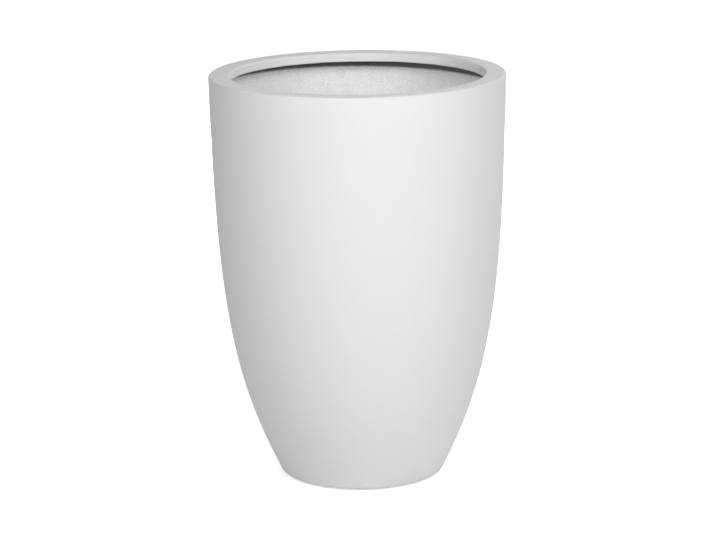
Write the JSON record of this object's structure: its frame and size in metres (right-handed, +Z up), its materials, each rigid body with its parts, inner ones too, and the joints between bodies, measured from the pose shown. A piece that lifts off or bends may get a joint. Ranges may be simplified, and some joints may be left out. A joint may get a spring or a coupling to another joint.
{
  "type": "planter",
  "caption": "Tall round fibreglass floor planter with a curved tapering wall, a flat turned-in rim with an inner lip, a drain hole and a lift-out plug.",
  "frame": {"origin": "on the floor under the planter's axis, level with the undersides of the foot pads", "axes": "+Z up along the planter's axis; -Y towards the viewer of the picture, +X to the viewer's right"},
  "size_m": [0.52, 0.52, 0.72],
  "materials": {
    "painted_laminate": "matte",
    "raw_laminate": "matte",
    "bonding_paste": "matte",
    "plug_rubber": "matte",
    "pad_rubber": "matte"
  },
  "bodies": {
    "vessel": {"body_shell": "painted_laminate", "rim_collar": "painted_laminate", "base_panel": "raw_laminate", "base_cove": "bonding_paste", "foot_pad_1": "pad_rubber", "foot_pad_2": "pad_rubber", "foot_pad_3": "pad_rubber", "foot_pad_4": "pad_rubber"},
    "plug": {"drain_plug": "plug_rubber"}
  },
  "joints": [
    {"name": "plug_lift", "type": "slide", "parent": "vessel", "child": "plug", "axis": [0, 0, 1], "range_m": [0, 0.75]}
  ]
}
